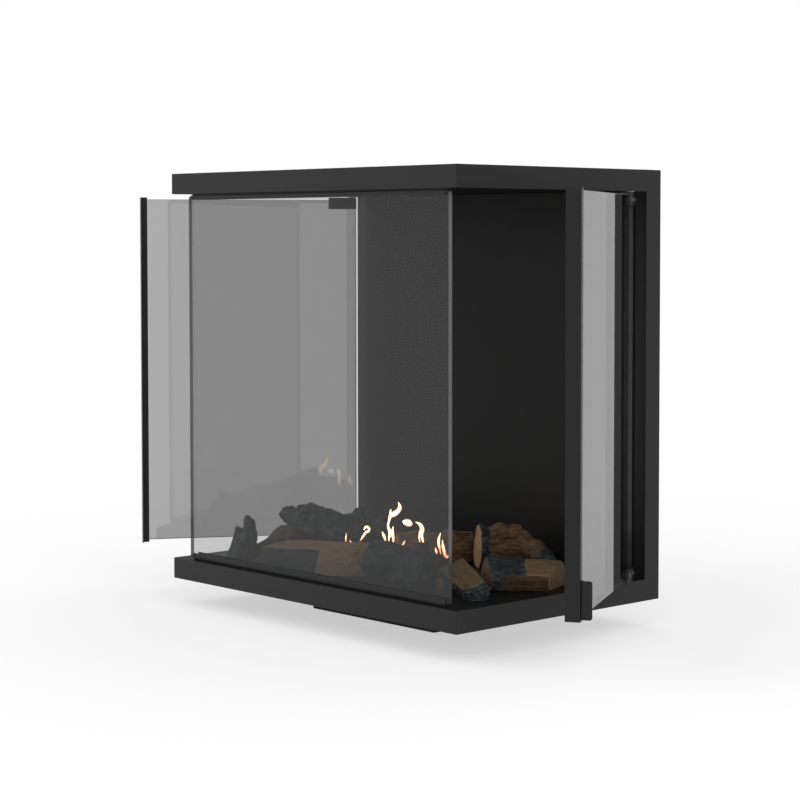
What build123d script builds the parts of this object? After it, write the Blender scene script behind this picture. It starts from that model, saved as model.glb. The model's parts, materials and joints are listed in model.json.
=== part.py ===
from build123d import *
import os
from math import sin, cos, radians, pi

os.makedirs("parts", exist_ok=True)

# Casing
frame_width = 815.0
frame_depth = 523.0
frame_height = 800.0
base_height = 40.0
hood_height = 40.0
casing_depth = 40.0
sheet = 2.0
fold_radius = 1.5
base_return = 18.0
hood_front_return = 34.0
hood_side_return = 40.0
casing_return = 30.0
liner_inset = 30.0
liner_thickness = 3.0
panel_overlap = 6.0
cross_rail_width = 30.0
cross_rail_offset = 60.0

# Wall fixings in the back of the column
fixing_span = 600.0
fixing_rise = 520.0
fixing_radius = 4.5

# Flue
flue_radius = 75.0
flue_wall = 2.0
flue_flange = 14.0

# Burner housing beneath the base
housing_width = 348.0
housing_depth = 240.0
housing_drop = 51.0
housing_setback = 165.0
housing_sheet = 1.5
housing_flange = 16.0
vent_count = 9
vent_width = 4.0
vent_height = 22.0
vent_pitch = 16.0

# Burner
trough_length = 240.0
trough_width = 80.0
trough_depth = 28.0
trough_rim = 12.0
trough_sheet = 1.5
trough_setback = 246.0
burner_plate_thickness = 2.0
port_length = 12.0
port_width = 3.0
port_pitch = 11.0
port_count = 18
port_row_gap = 30.0

# Gas parts
pipe_radius = 5.0
pipe_wall = 1.0
pipe_bend = 18.0
pipe_height = 25.0
injector_radius = 8.0
injector_height = 16.0
injector_nose = 5.0
valve_size = (80.0, 50.0, 42.0)
valve_place = (100.0, 61.5)
valve_head_radius = 15.0
valve_head_height = 16.0
valve_head_pitch = 40.0
inlet_radius = 8.33
inlet_length = 14.0
inlet_hex = 12.0
inlet_hex_length = 8.0
module_size = (100.0, 60.0, 30.0)
module_place = (-105.0, 61.5)
module_edge = 3.0

# Pilot
pilot_x = -92.0
pilot_width = 34.0
pilot_foot = 12.0
pilot_rise = 14.0
pilot_shelf = 14.0
pilot_sheet = 1.5
pilot_pitch = 11.0
pilot_burner_radius = 4.0
thermocouple_radius = 2.0
electrode_radius = 3.0
pilot_tip = 15.0
pilot_tail = 8.0
electrode_rod_radius = 1.0
electrode_rod_length = 9.0

# Front pane
front_glass_inset = 35.2
front_glass_setback = 15.4
glass_thickness = 8.0
rail_inset = 43.0
rail_sheet = 1.5
rail_lip_gap = 0.3
rail_depth = 16.4
bottom_rail_height = 10.0
top_rail_height = 8.5
rail_shadow_gap = 3.0
rail_neck_setback = 5.0
end_cap_length = 8.0
end_cap_groove = 0.5
setting_block_height = 1.0
setting_block_length = 60.0
glass_head_gap = 1.0
gasket_height = 7.0

# Doors
door_open = 30.7
pivot_inset = 15.0
pivot_to_casing = 27.9
door_front_setback = 10.5
glass_overhang = 8.0
lift_clearance = 0.5
stile_sheet = 1.5
stile_flange = 26.6
stile_lip = 14.0
stile_foot = 1.0
stile_head = 2.5
bond_gap = 0.5

# Finger tab
tab_width = 19.5
tab_height = 65.0
tab_foot = 4.8
tab_thickness = 2.0
tab_setback = 2.5
tab_leg = 10.5
tab_corner = 4.4
tab_bend = 1.8
rivet_radius = 2.0
rivet_head = 3.4
rivet_pitch = 40.0

# Door shoes and pivots
shoe_length = 57.0
shoe_height = 24.0
shoe_plate = 4.0
shoe_web = 4.5
shoe_edge_radius = 2.5
liner_pad = 0.5
clamp_screw_radius = 2.5
clamp_head_radius = 4.2
clamp_head_height = 2.2
clamp_screw_pitch = 30.0
pin_radius = 4.0
pin_reach = 5.0
glass_arris = 0.6
rail_round = 0.7
stile_round = 0.7
running_clearance = 0.05
bush_radius = 6.0
bush_flange_radius = 8.0
bush_flange = 1.0
hinge_plate_width = 24.0
hinge_plate_length = 60.0
hinge_plate_thickness = 4.0
fit_clearance = 0.05

# Logs
log_radius = 30.0
log_sides = 10
seat_gap = 0.3

# Levels and planes that the pieces share
z_frame = housing_drop
z_floor = z_frame + base_height
z_top = z_frame + frame_height
z_ceiling = z_top - hood_height
y_front = -frame_depth / 2
y_back = frame_depth / 2
y_casing = y_back - casing_depth
pivot_x = frame_width / 2 - pivot_inset
pivot_y = y_casing - pivot_to_casing
pivot_points = [(side * pivot_x, pivot_y) for side in (-1, 1)]
trough_y = y_front + trough_setback
trough_point = (0, trough_y)


def finish(builder, name):
    """Label a finished piece and write it."""
    builder.part.label = name
    export_step(builder.part, f"parts/{name}.step")


def block(x_span, y_span, mode=Mode.ADD):
    """Rectangle between two pairs of limits, in the sketch that is open."""
    (x0, x1), (y0, y1) = x_span, y_span
    with Locations(((x0 + x1) / 2, (y0 + y1) / 2)):
        Rectangle(abs(x1 - x0), abs(y1 - y0), mode=mode)


# Base: floor plate, skirts and bottom returns
with BuildPart() as base_tray:
    with BuildSketch(Plane.XY.offset(z_frame)):
        RectangleRounded(frame_width, frame_depth, fold_radius)
    extrude(amount=base_height)
    with BuildSketch(Plane.XY.offset(z_frame + sheet)):
        Rectangle(frame_width - 2 * sheet, frame_depth - 2 * sheet)
    extrude(amount=base_height - 2 * sheet, mode=Mode.SUBTRACT)
    with BuildSketch(Plane.XY.offset(z_frame)):
        Rectangle(frame_width - 2 * base_return, frame_depth - 2 * base_return)
    extrude(amount=sheet, mode=Mode.SUBTRACT)
    with BuildSketch(Plane.XY.offset(z_floor)):
        with Locations(trough_point):
            Rectangle(trough_length + 2 * fit_clearance, trough_width + 2 * fit_clearance)
        with Locations(*pivot_points):
            Circle(bush_radius + fit_clearance)
    extrude(amount=-sheet, mode=Mode.SUBTRACT)
finish(base_tray, "base_tray")

# Channels that stiffen the floor plate
cross_rail_x = housing_width / 2 + cross_rail_offset
cross_rail_height = base_height - 2 * sheet
with BuildPart() as base_cross_rails:
    for side in (-1, 1):
        with BuildSketch(Plane.XZ.offset(frame_depth / 2 - sheet)):
            with Locations((side * cross_rail_x, z_frame + base_height / 2)):
                Rectangle(cross_rail_width, cross_rail_height)
            with Locations((side * (cross_rail_x + sheet), z_frame + base_height / 2)):
                Rectangle(cross_rail_width, cross_rail_height - 2 * sheet, mode=Mode.SUBTRACT)
        extrude(amount=-(frame_depth - 2 * sheet))
finish(base_cross_rails, "base_cross_rails")

# Hollow back column with an open window behind the liner
column_height = z_ceiling - z_floor
column_middle = (z_floor + z_ceiling) / 2
with BuildPart() as rear_casing:
    with BuildSketch(Plane.XY.offset(z_floor)):
        with Locations((0, y_back - casing_depth / 2)):
            RectangleRounded(frame_width, casing_depth, fold_radius)
            Rectangle(frame_width - 2 * sheet, casing_depth - 2 * sheet, mode=Mode.SUBTRACT)
    extrude(amount=column_height)
    with BuildSketch(Plane.XZ.offset(-y_casing)):
        with Locations((0, column_middle)):
            Rectangle(frame_width - 2 * casing_return - 2 * sheet, column_height - 2 * casing_return)
    extrude(amount=-sheet, mode=Mode.SUBTRACT)
    with BuildSketch(Plane.XZ.offset(-y_back)):
        with Locations((0, column_middle)):
            with GridLocations(fixing_span, fixing_rise, 2, 2):
                Circle(fixing_radius)
    extrude(amount=sheet, mode=Mode.SUBTRACT)
finish(rear_casing, "rear_casing")

# Plate behind the fire
with BuildPart() as back_liner:
    with BuildSketch(Plane.XZ.offset(-y_casing)):
        with Locations((0, column_middle)):
            Rectangle(frame_width - 2 * liner_inset, column_height)
    extrude(amount=liner_thickness)
finish(back_liner, "back_liner")

# Hood, open below inside its returns
with BuildPart() as top_hood:
    with BuildSketch(Plane.XY.offset(z_ceiling)):
        RectangleRounded(frame_width, frame_depth, fold_radius)
    extrude(amount=hood_height)
    with BuildSketch(Plane.XY.offset(z_ceiling + sheet)):
        Rectangle(frame_width - 2 * sheet, frame_depth - 2 * sheet)
    extrude(amount=hood_height - 2 * sheet, mode=Mode.SUBTRACT)
    with BuildSketch(Plane.XY.offset(z_ceiling)):
        Rectangle(frame_width - 2 * hood_side_return, frame_depth - 2 * hood_front_return)
        with Locations(*pivot_points):
            Circle(bush_radius + fit_clearance)
    extrude(amount=sheet, mode=Mode.SUBTRACT)
    with BuildSketch(Plane.XY.offset(z_top)):
        Circle(flue_radius + flue_wall + fit_clearance)
    extrude(amount=-sheet, mode=Mode.SUBTRACT)
finish(top_hood, "top_hood")

# Plate that closes the hood, resting on its returns
with BuildPart() as ceiling_panel:
    with BuildSketch(Plane.XY.offset(z_ceiling + sheet)):
        Rectangle(
            frame_width - 2 * hood_side_return + 2 * panel_overlap,
            frame_depth - 2 * hood_front_return + 2 * panel_overlap,
        )
        Circle(flue_radius, mode=Mode.SUBTRACT)
    extrude(amount=sheet)
finish(ceiling_panel, "ceiling_panel")

# Recessed ring for the flue pipe, flanged under the top plate
with BuildPart() as flue_socket:
    with BuildSketch(Plane.XY.offset(z_ceiling + 2 * sheet)):
        Circle(flue_radius + flue_wall)
        Circle(flue_radius, mode=Mode.SUBTRACT)
    extrude(amount=hood_height - 2 * sheet)
    with BuildSketch(Plane.XY.offset(z_top - sheet)):
        Circle(flue_radius + flue_wall + flue_flange)
        Circle(flue_radius + flue_wall, mode=Mode.SUBTRACT)
    extrude(amount=-flue_wall)
finish(flue_socket, "flue_socket")

# Doubling plates behind the four pivots
with BuildPart() as hinge_plates:
    for level in (z_floor - sheet - hinge_plate_thickness, z_ceiling + sheet):
        with BuildSketch(Plane.XY.offset(level)):
            with Locations(*pivot_points):
                Rectangle(hinge_plate_width, hinge_plate_length)
                Circle(bush_radius + fit_clearance, mode=Mode.SUBTRACT)
        extrude(amount=hinge_plate_thickness)
finish(hinge_plates, "hinge_plates")

# Flanged bushes, pressed through sheet and doubling plate
bush_depth = sheet + hinge_plate_thickness
with BuildPart() as pivot_bushes:
    for seat, outward in ((z_floor, 1), (z_ceiling, -1)):
        with BuildSketch(Plane.XY.offset(seat)):
            with Locations(*pivot_points):
                Circle(bush_radius)
        extrude(amount=-outward * bush_depth)
        with BuildSketch(Plane.XY.offset(seat)):
            with Locations(*pivot_points):
                Circle(bush_flange_radius)
        extrude(amount=outward * bush_flange)
        with BuildSketch(Plane.XY.offset(seat + outward * bush_flange)):
            with Locations(*pivot_points):
                Circle(pin_radius + running_clearance)
        extrude(amount=-outward * (bush_flange + bush_depth), mode=Mode.SUBTRACT)
finish(pivot_bushes, "pivot_bushes")

# Housing that hangs through the base and carries the burner's gas parts
housing_y = y_front + housing_setback + housing_depth / 2
housing_top = z_floor - sheet
vent_z = housing_drop / 2
with BuildPart() as burner_housing:
    with BuildSketch():
        with Locations((0, housing_y)):
            RectangleRounded(housing_width, housing_depth, fold_radius)
    extrude(amount=housing_top)
    with BuildSketch(Plane.XY.offset(housing_sheet)):
        with Locations((0, housing_y)):
            Rectangle(housing_width - 2 * housing_sheet, housing_depth - 2 * housing_sheet)
    extrude(amount=housing_top - housing_sheet, mode=Mode.SUBTRACT)
    with BuildSketch(Plane.XY.offset(housing_top - housing_sheet)):
        with Locations((0, housing_y)):
            Rectangle(housing_width + 2 * housing_flange, housing_depth + 2 * housing_flange)
            Rectangle(
                housing_width - 2 * housing_sheet,
                housing_depth - 2 * housing_sheet,
                mode=Mode.SUBTRACT,
            )
    extrude(amount=housing_sheet)
    with BuildSketch(Plane.YZ):
        with Locations((housing_y, vent_z)):
            with GridLocations(vent_pitch, 1, vent_count, 1):
                SlotOverall(vent_height, vent_width, rotation=90)
    extrude(amount=housing_width / 2, both=True, mode=Mode.SUBTRACT)
finish(burner_housing, "burner_housing")

# Burner trough let into the floor plate
trough_top = z_floor + trough_sheet
with BuildPart() as burner_trough:
    with BuildSketch(Plane.XY.offset(trough_top)):
        with Locations(trough_point):
            Rectangle(trough_length, trough_width)
    extrude(amount=-(trough_depth + trough_sheet))
    with BuildSketch(Plane.XY.offset(trough_top)):
        with Locations(trough_point):
            RectangleRounded(trough_length + 2 * trough_rim, trough_width + 2 * trough_rim, trough_rim / 2)
    extrude(amount=-trough_sheet)
    with BuildSketch(Plane.XY.offset(trough_top)):
        with Locations(trough_point):
            Rectangle(trough_length - 2 * trough_sheet, trough_width - 2 * trough_sheet)
    extrude(amount=-trough_depth, mode=Mode.SUBTRACT)
    with BuildSketch(Plane.XY.offset(trough_top)):
        with Locations(trough_point):
            Circle(injector_radius - trough_sheet)
    extrude(amount=-(trough_depth + trough_sheet), mode=Mode.SUBTRACT)
finish(burner_trough, "burner_trough")

# Slotted plate that the gas burns over
plate_bottom = trough_top
plate_top = plate_bottom + burner_plate_thickness
with BuildPart() as burner_plate:
    with BuildSketch(Plane.XY.offset(plate_bottom)):
        with Locations(trough_point):
            RectangleRounded(trough_length + trough_rim, trough_width + trough_rim, trough_rim / 2)
            with GridLocations(port_pitch, port_row_gap, port_count, 2):
                Rectangle(port_width, port_length, mode=Mode.SUBTRACT)
    extrude(amount=burner_plate_thickness)
finish(burner_plate, "burner_plate")

# Injector between the burner pipe and the trough
trough_bottom = trough_top - trough_depth - trough_sheet
with BuildPart() as gas_injector:
    with BuildSketch(Plane.XY.offset(trough_bottom)):
        with Locations(trough_point):
            Circle(injector_radius)
    extrude(amount=-injector_height)
    with BuildSketch(Plane.XY.offset(trough_bottom)):
        with Locations(trough_point):
            Circle(injector_radius - trough_sheet - fit_clearance)
    extrude(amount=injector_nose)
    chamfer(gas_injector.edges().group_by(Axis.Z)[-1], trough_sheet)
finish(gas_injector, "gas_injector")

# Gas valve with its two motor heads
valve_x, valve_y = valve_place[0], housing_y + valve_place[1]
valve_length, valve_width, valve_height = valve_size
with BuildPart() as gas_valve:
    with BuildSketch(Plane.XY.offset(housing_sheet)):
        with Locations((valve_x, valve_y)):
            Rectangle(valve_length, valve_width)
    extrude(amount=valve_height)
    chamfer(gas_valve.edges().filter_by(Axis.Z), 4 * housing_sheet)
    with BuildSketch(Plane.XY.offset(housing_sheet + valve_height)):
        with Locations((valve_x, valve_y)):
            with GridLocations(valve_head_pitch, 1, 2, 1):
                Circle(valve_head_radius)
    extrude(amount=valve_head_height)
finish(gas_valve, "gas_valve")

# Bent pipe from the valve to the injector
injector_foot = trough_bottom - injector_height
with BuildPart() as burner_pipe:
    with BuildLine() as pipe_route:
        FilletPolyline(
            (valve_x - valve_length / 2, valve_y, pipe_height),
            (0, valve_y, pipe_height),
            (0, trough_y, pipe_height),
            (0, trough_y, injector_foot),
            radius=pipe_bend,
        )
    with BuildSketch(Plane(origin=pipe_route.line @ 0, z_dir=pipe_route.line % 0)):
        Circle(pipe_radius)
        Circle(pipe_radius - pipe_wall, mode=Mode.SUBTRACT)
    sweep()
finish(burner_pipe, "burner_pipe")

# Straight pipe from the inlet to the valve
housing_back = housing_y + housing_depth / 2
with BuildPart() as supply_pipe:
    with BuildSketch(Plane.XZ.offset(-(valve_y + valve_width / 2))):
        with Locations((valve_x, pipe_height)):
            Circle(pipe_radius)
            Circle(pipe_radius - pipe_wall, mode=Mode.SUBTRACT)
    extrude(amount=-(housing_back - housing_sheet - valve_y - valve_width / 2))
finish(supply_pipe, "supply_pipe")

# Inlet fitting outside the housing's back wall
with BuildPart() as inlet_fitting:
    with BuildSketch(Plane.XZ.offset(-housing_back)):
        with Locations((valve_x, pipe_height)):
            RegularPolygon(inlet_hex, 6)
    extrude(amount=-inlet_hex_length)
    with BuildSketch(Plane.XZ.offset(-(housing_back + inlet_hex_length))):
        with Locations((valve_x, pipe_height)):
            Circle(inlet_radius)
    extrude(amount=-inlet_length)
    with BuildSketch(Plane.XZ.offset(-housing_back)):
        with Locations((valve_x, pipe_height)):
            Circle(pipe_radius)
    extrude(amount=-(inlet_hex_length + inlet_length), mode=Mode.SUBTRACT)
finish(inlet_fitting, "inlet_fitting")

# Receiver and ignition box
with BuildPart() as control_module:
    with BuildSketch(Plane.XY.offset(housing_sheet)):
        with Locations((module_place[0], housing_y + module_place[1])):
            RectangleRounded(module_size[0], module_size[1], module_edge)
    extrude(amount=module_size[2])
    fillet(control_module.edges().group_by(Axis.Z)[-1], module_edge / 2)
finish(control_module, "control_module")

# Pilot: a bent shelf behind the burner with its burner, probe and electrode
shelf_front = trough_y + trough_width / 2 + trough_rim + fit_clearance
shelf_top = z_floor + pilot_rise + pilot_sheet
shelf_y = shelf_front + pilot_shelf / 2
pilot_places = {
    "burner": (pilot_x - pilot_pitch, shelf_y),
    "probe": (pilot_x, shelf_y),
    "electrode": (pilot_x + pilot_pitch, shelf_y),
}
with BuildPart() as pilot_bracket:
    with BuildSketch(Plane.YZ.offset(pilot_x - pilot_width / 2)):
        block((shelf_front, shelf_front + pilot_shelf + pilot_sheet), (shelf_top - pilot_sheet, shelf_top))
        block(
            (shelf_front + pilot_shelf, shelf_front + pilot_shelf + pilot_sheet),
            (z_floor, shelf_top),
        )
        block(
            (shelf_front + pilot_shelf, shelf_front + pilot_shelf + pilot_foot),
            (z_floor, z_floor + pilot_sheet),
        )
    extrude(amount=pilot_width)
    with BuildSketch(Plane.XY.offset(shelf_top)):
        with Locations(pilot_places["burner"]):
            Circle(pilot_burner_radius + fit_clearance)
        with Locations(pilot_places["probe"]):
            Circle(thermocouple_radius + fit_clearance)
        with Locations(pilot_places["electrode"]):
            Circle(electrode_radius + fit_clearance)
    extrude(amount=-pilot_sheet, mode=Mode.SUBTRACT)
finish(pilot_bracket, "pilot_bracket")

with BuildPart() as pilot_burner:
    with BuildSketch(Plane.XY.offset(shelf_top - pilot_tail)):
        with Locations(pilot_places["burner"]):
            Circle(pilot_burner_radius)
    extrude(amount=pilot_tail + pilot_tip)
    with BuildSketch(Plane.XY.offset(shelf_top + pilot_tip)):
        with Locations(pilot_places["burner"]):
            Circle(pilot_burner_radius - pipe_wall)
    extrude(amount=-pilot_tip / 2, mode=Mode.SUBTRACT)
finish(pilot_burner, "pilot_burner")

with BuildPart() as thermocouple:
    with BuildSketch(Plane.XY.offset(shelf_top - pilot_tail)):
        with Locations(pilot_places["probe"]):
            Circle(thermocouple_radius)
    extrude(amount=pilot_tail + pilot_tip)
    fillet(thermocouple.edges().group_by(Axis.Z)[-1], thermocouple_radius / 2)
finish(thermocouple, "thermocouple")

with BuildPart() as spark_electrode:
    with BuildSketch(Plane.XY.offset(shelf_top - pilot_tail)):
        with Locations(pilot_places["electrode"]):
            Circle(electrode_radius)
    extrude(amount=pilot_tail + pilot_tip - electrode_rod_length)
    with BuildSketch(Plane.XY.offset(shelf_top + pilot_tip - electrode_rod_length)):
        with Locations(pilot_places["electrode"]):
            Circle(electrode_rod_radius)
    extrude(amount=electrode_rod_length)
finish(spark_electrode, "spark_electrode")

# Front pane
y_glass = y_front + front_glass_setback
rail_front = y_glass - rail_lip_gap - rail_sheet
rail_back = rail_front + rail_depth
glass_foot = rail_shadow_gap + rail_sheet + setting_block_height
glass_head = rail_shadow_gap + rail_sheet + glass_head_gap
front_glass_low = z_floor + glass_foot
front_glass_high = z_ceiling - glass_head
with BuildPart() as front_glass:
    with BuildSketch(Plane.XY.offset(front_glass_low)):
        with Locations((0, y_glass + glass_thickness / 2)):
            Rectangle(frame_width - 2 * front_glass_inset, glass_thickness)
    extrude(amount=front_glass_high - front_glass_low)
    chamfer(front_glass.edges(), glass_arris)
finish(front_glass, "front_glass")


def rail_section(x, seat, way, height):
    """Channel for an edge of the front pane, opening up (1) or down (-1) from its seat."""
    web = seat + way * rail_shadow_gap
    lip = web + way * height
    with BuildSketch(Plane.YZ.offset(x)) as section:
        block((rail_front, rail_back), (web, lip))
        block((rail_front + rail_sheet, rail_back - rail_sheet), (web + way * rail_sheet, lip), Mode.SUBTRACT)
        block((rail_front + rail_neck_setback, rail_back - rail_sheet), (seat, web))
        corner = section.vertices().group_by(Axis.X)[0]
        fillet(corner, rail_round)
    return section.sketch


rail_end = frame_width / 2 - rail_inset
rail_half = rail_end - end_cap_length - end_cap_groove
rails = {
    "front_bottom_rail": (z_floor, 1, bottom_rail_height),
    "front_top_rail": (z_ceiling, -1, top_rail_height),
}
for rail_name, (seat, way, height) in rails.items():
    with BuildPart() as rail:
        extrude(rail_section(0, seat, way, height), amount=rail_half, both=True)
    finish(rail, rail_name)

with BuildPart() as rail_end_caps:
    for seat, way, height in rails.values():
        for side in (-1, 1):
            cap_face = rail_section(side * (rail_end - end_cap_length), seat, way, height)
            extrude(cap_face, amount=side * end_cap_length)
finish(rail_end_caps, "rail_end_caps")

# Blocks under the pane and fibre strips behind its edges
with BuildPart() as glass_setting_blocks:
    with BuildSketch(Plane.XY.offset(front_glass_low)):
        with Locations((0, y_glass + glass_thickness / 2)):
            with GridLocations(rail_half - setting_block_length, 1, 3, 1):
                Rectangle(setting_block_length, glass_thickness)
    extrude(amount=-setting_block_height)
finish(glass_setting_blocks, "glass_setting_blocks")

with BuildPart() as glass_gaskets:
    for seat, way, height in rails.values():
        strip = seat + way * (rail_shadow_gap + rail_sheet)
        with BuildSketch(Plane.YZ.offset(-rail_half)):
            block((y_glass + glass_thickness, rail_back - rail_sheet), (strip, strip + way * gasket_height))
        extrude(amount=2 * rail_half)
finish(glass_gaskets, "glass_gaskets")

# Right door, drawn from its pivot: x towards the free edge, y outward
swing = radians(door_open)
door_plane = Plane(
    origin=(pivot_x, pivot_y, 0),
    x_dir=(sin(swing), -cos(swing), 0),
    z_dir=(0, 0, 1),
)
door_length_axis = Axis(door_plane.origin, door_plane.x_dir)
door_outward_axis = Axis(door_plane.origin, door_plane.y_dir)
door_reach = pivot_y - y_front - door_front_setback
half_glass = glass_thickness / 2
stile_out = half_glass + stile_sheet
jaw_half = half_glass + liner_pad
shoe_half = jaw_half + shoe_plate
shoe_span = (-glass_overhang, shoe_length - glass_overhang)
lower_seat = z_floor + bush_flange
upper_seat = z_ceiling - bush_flange - lift_clearance
door_glass_low = lower_seat + shoe_web + liner_pad
door_glass_high = upper_seat - shoe_web - liner_pad


def side_plane(out, height):
    """Upright plane parallel to the door, facing outward."""
    place = door_plane.origin + door_plane.y_dir * out + Vector(0, 0, height)
    return Plane(origin=place, x_dir=door_plane.x_dir, z_dir=door_plane.y_dir)


def finish_pair(builder, name):
    """Write a piece of the right door and its mirror image on the left door."""
    finish(builder, f"right_{name}")
    with BuildPart() as left:
        mirror(builder.part, about=Plane.YZ)
    finish(left, f"left_{name}")


with BuildPart() as door_glass:
    with BuildSketch(door_plane.offset(door_glass_low)):
        block((-glass_overhang, door_reach - stile_sheet - bond_gap), (-half_glass, half_glass))
    extrude(amount=door_glass_high - door_glass_low)
    chamfer(door_glass.edges(), glass_arris)
finish_pair(door_glass, "door_glass")

rivet_x = door_reach - tab_setback - tab_leg / 2 - tab_thickness / 2
rivet_z = z_floor + tab_foot + tab_height / 2
with BuildPart() as door_stile:
    with BuildSketch(door_plane.offset(z_floor + stile_foot)) as stile_profile:
        block((door_reach - stile_sheet, door_reach), (stile_out - stile_flange, stile_out))
        block((door_reach - stile_lip, door_reach), (half_glass, stile_out))
        block((door_reach - stile_lip, door_reach), (-stile_out, -half_glass))
        fillet(stile_profile.vertices().group_by(Axis.X)[-1], stile_round)
    extrude(amount=z_ceiling - stile_head - z_floor - stile_foot)
    with BuildSketch(side_plane(stile_out, rivet_z)):
        with Locations((rivet_x, 0)):
            with GridLocations(1, rivet_pitch, 1, 2):
                Circle(rivet_radius + fit_clearance)
    extrude(amount=-stile_sheet, mode=Mode.SUBTRACT)
finish_pair(door_stile, "door_stile")

# Finger tab: a leg riveted to the stile's outer lip and a wing that stands out
tab_face = door_reach - tab_setback
with BuildPart() as door_tab:
    with BuildSketch(door_plane.offset(z_floor + tab_foot)) as tab_profile:
        block((tab_face - tab_leg, tab_face), (stile_out, stile_out + tab_thickness))
        block((tab_face - tab_thickness, tab_face), (stile_out, stile_out + tab_width))
        fillet(tab_profile.vertices().group_by(Axis.X)[-1].sort_by(Axis.Y)[0], tab_bend)
    extrude(amount=tab_height)
    wing_corners = door_tab.edges().filter_by(door_length_axis).sort_by(door_outward_axis)[-2:]
    fillet(wing_corners, tab_corner)
    with BuildSketch(side_plane(stile_out + tab_thickness, rivet_z)):
        with Locations((rivet_x, 0)):
            with GridLocations(1, rivet_pitch, 1, 2):
                Circle(rivet_radius + fit_clearance)
    extrude(amount=-tab_thickness, mode=Mode.SUBTRACT)
finish_pair(door_tab, "door_tab")

with BuildPart() as tab_rivets:
    with BuildSketch(side_plane(stile_out + tab_thickness, rivet_z)):
        with Locations((rivet_x, 0)):
            with GridLocations(1, rivet_pitch, 1, 2):
                Circle(rivet_radius)
    extrude(amount=-(tab_thickness + stile_sheet))
    with BuildSketch(side_plane(stile_out + tab_thickness, rivet_z)):
        with Locations((rivet_x, 0)):
            with GridLocations(1, rivet_pitch, 1, 2):
                Circle(rivet_head)
    extrude(amount=rivet_radius / 2)
finish_pair(tab_rivets, "tab_rivets")

# Shoes, liners and pins at the two rear corners of the pane
for level, seat, way in (("lower", lower_seat, 1), ("upper", upper_seat, -1)):
    web = seat + way * shoe_web
    with BuildPart() as door_shoe:
        with BuildSketch(door_plane.offset(seat)):
            block(shoe_span, (-shoe_half, shoe_half))
        extrude(amount=way * shoe_height)
        seat_edges = door_shoe.edges().filter_by(door_length_axis).sort_by(Axis.Z, reverse=way < 0)[:2]
        fillet(seat_edges, shoe_edge_radius)
        with BuildSketch(door_plane.offset(web)):
            block(shoe_span, (-jaw_half, jaw_half))
        extrude(amount=way * shoe_height, mode=Mode.SUBTRACT)
        with BuildSketch(door_plane.offset(seat)):
            Circle(pin_radius + fit_clearance)
        extrude(amount=way * shoe_web, mode=Mode.SUBTRACT)
        with BuildSketch(side_plane(shoe_half, (web + seat + way * shoe_height) / 2)):
            with Locations((sum(shoe_span) / 2, 0)):
                with GridLocations(clamp_screw_pitch, 1, 2, 1):
                    Circle(clamp_screw_radius + fit_clearance)
        extrude(amount=-shoe_plate, mode=Mode.SUBTRACT)
    finish_pair(door_shoe, f"{level}_shoe")

    with BuildPart() as shoe_pin:
        with BuildSketch(door_plane.offset(web)):
            Circle(pin_radius)
        extrude(amount=-way * (shoe_web + abs(seat - (z_floor if way > 0 else z_ceiling)) + pin_reach))
    finish_pair(shoe_pin, f"{level}_pin")

with BuildPart() as clamp_liners:
    for seat, way in ((lower_seat, 1), (upper_seat, -1)):
        web = seat + way * shoe_web
        with BuildSketch(door_plane.offset(web)):
            block(shoe_span, (-jaw_half, jaw_half))
        extrude(amount=way * (shoe_height - shoe_web))
        with BuildSketch(door_plane.offset(web + way * liner_pad)):
            block(shoe_span, (-half_glass, half_glass))
        extrude(amount=way * shoe_height, mode=Mode.SUBTRACT)
finish_pair(clamp_liners, "clamp_liners")

with BuildPart() as clamp_screws:
    for seat, way in ((lower_seat, 1), (upper_seat, -1)):
        screw_z = seat + way * (shoe_web + shoe_height) / 2
        for depth, radius in ((-shoe_plate, clamp_screw_radius), (clamp_head_height, clamp_head_radius)):
            with BuildSketch(side_plane(shoe_half, screw_z)):
                with Locations((sum(shoe_span) / 2, 0)):
                    with GridLocations(clamp_screw_pitch, 1, 2, 1):
                        Circle(radius)
            extrude(amount=depth)
finish_pair(clamp_screws, "clamp_screws")


# Logs. A point is given as a share of the half width, a share of the way from the
# burner to the front (-1) or to the column (1), and a height in log radii
def bed_point(across, along, height):
    """Place in the log bed."""
    reach = trough_setback if along < 0 else y_casing - trough_y
    return Vector(across * frame_width / 2, trough_y + along * reach, z_floor + height * log_radius)


def bark_ring(across, upright, turn, lump):
    """Corners of an uneven ring; turn carries the unevenness round it."""
    corners = []
    for step in range(log_sides):
        angle = 2 * pi * step / log_sides
        swell = log_radius * (1 + lump * (sin(3 * angle + turn) + cos(5 * angle - 2 * turn) / 2))
        corners.append((across * swell * cos(angle), upright * swell * sin(angle)))
    return corners


def rough_log(start, end, radii, lump, splits=(), supports=()):
    """Log between two points, split by planes and moulded over whatever carries it."""
    first = bed_point(*start)
    axis = bed_point(*end) - first
    middle = first + axis / 2
    with BuildPart() as log:
        for station, (across, upright) in enumerate(radii):
            place = first + axis * (station / (len(radii) - 1))
            with BuildSketch(Plane(origin=place, x_dir=axis.cross(Vector(0, 0, 1)), z_dir=axis)):
                Polygon(*bark_ring(across, upright, 1.7 * station + 9 * start[0], lump), align=None)
        loft(ruled=True)
        for point, normal in splits:
            split(bisect_by=Plane(origin=bed_point(*point), z_dir=normal), keep=Keep.BOTTOM)
        split(bisect_by=Plane.XY.offset(z_floor), keep=Keep.TOP)
        with BuildSketch(Plane.XY.offset(z_floor)):
            with Locations(trough_point):
                Rectangle(trough_length + 3 * trough_rim, trough_width + 3 * trough_rim)
        extrude(amount=plate_top - z_floor, mode=Mode.SUBTRACT)
        for support in supports:
            away = (middle - support.part.center()).normalized() * seat_gap
            add([support.part, support.part.moved(Location(away))], mode=Mode.SUBTRACT)
    return log


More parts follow.
